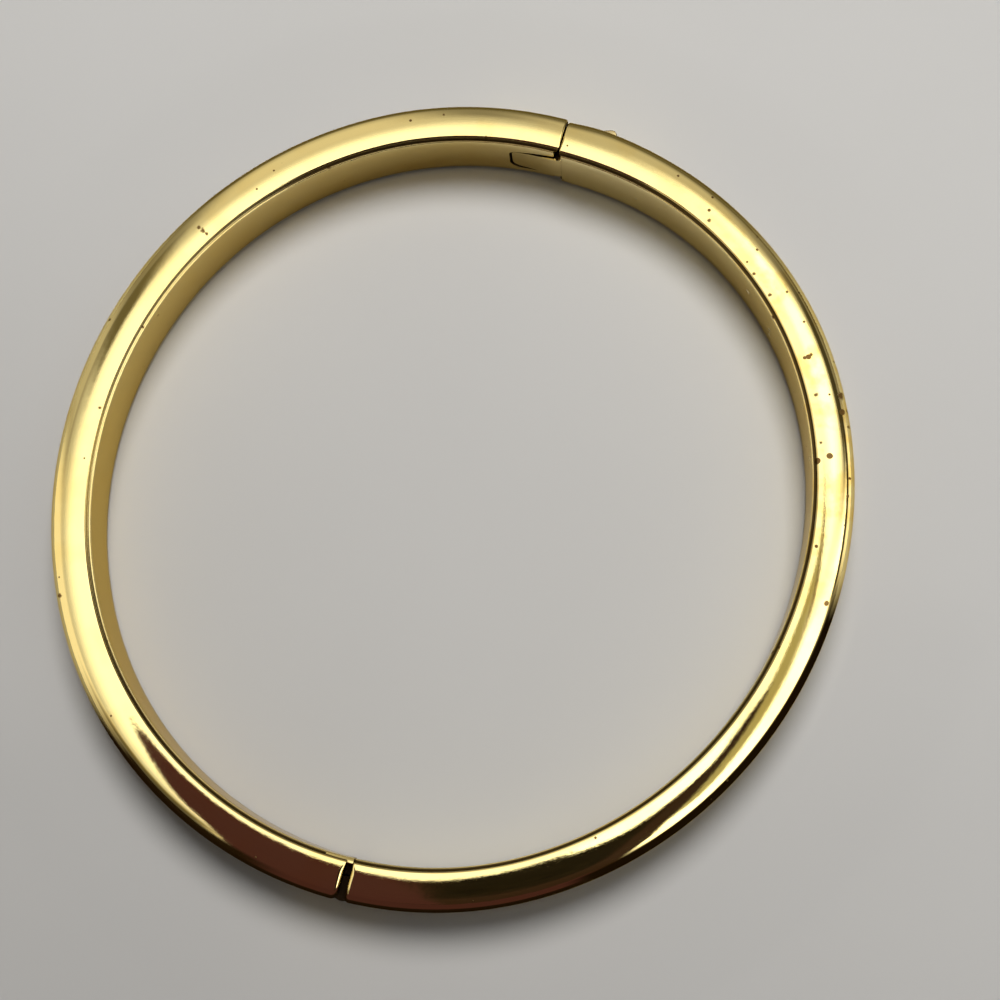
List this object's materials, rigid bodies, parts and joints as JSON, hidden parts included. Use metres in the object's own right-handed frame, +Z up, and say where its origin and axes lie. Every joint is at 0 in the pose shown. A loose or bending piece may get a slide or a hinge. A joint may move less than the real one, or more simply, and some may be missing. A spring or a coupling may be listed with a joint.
{
  "type": "hinged oval bangle",
  "caption": "Slim oval bangle of two hinged gold halves that close on a tongue and push button, with dark enamel let into the outer face.",
  "frame": {"origin": "middle of the oval on the plane that the bangle lies on", "axes": "+Z up through the wrist opening, +Y from the hinge to the clasp, +X towards the half that carries the tongue"},
  "size_m": [0.0632, 0.0657, 0.006],
  "materials": {
    "gold": "polished gold plating with fine scratches and a few dark stains",
    "enamel": "glossy dark brown enamel",
    "pin": "satin"
  },
  "bodies": {
    "notch_half": {"notch_half": "gold", "notch_half_enamel": "enamel"},
    "tongue_half": {"tongue_half": "gold", "tongue_half_enamel": "enamel", "hinge_pin": "pin"},
    "release_button": {"release_button": "gold"}
  },
  "joints": [
    {"name": "hinge", "type": "hinge", "parent": "notch_half", "child": "tongue_half", "pos_m": [0.0009, -0.03172, 0.003], "axis": [0, 0, -1], "range_deg": [0, 45]},
    {"name": "release", "type": "slide", "parent": "tongue_half", "child": "release_button", "axis": [0, -1, 0], "range_m": [0, 0.0004], "stiffness_N_per_m": 300, "springref_m": -0.0002}
  ]
}
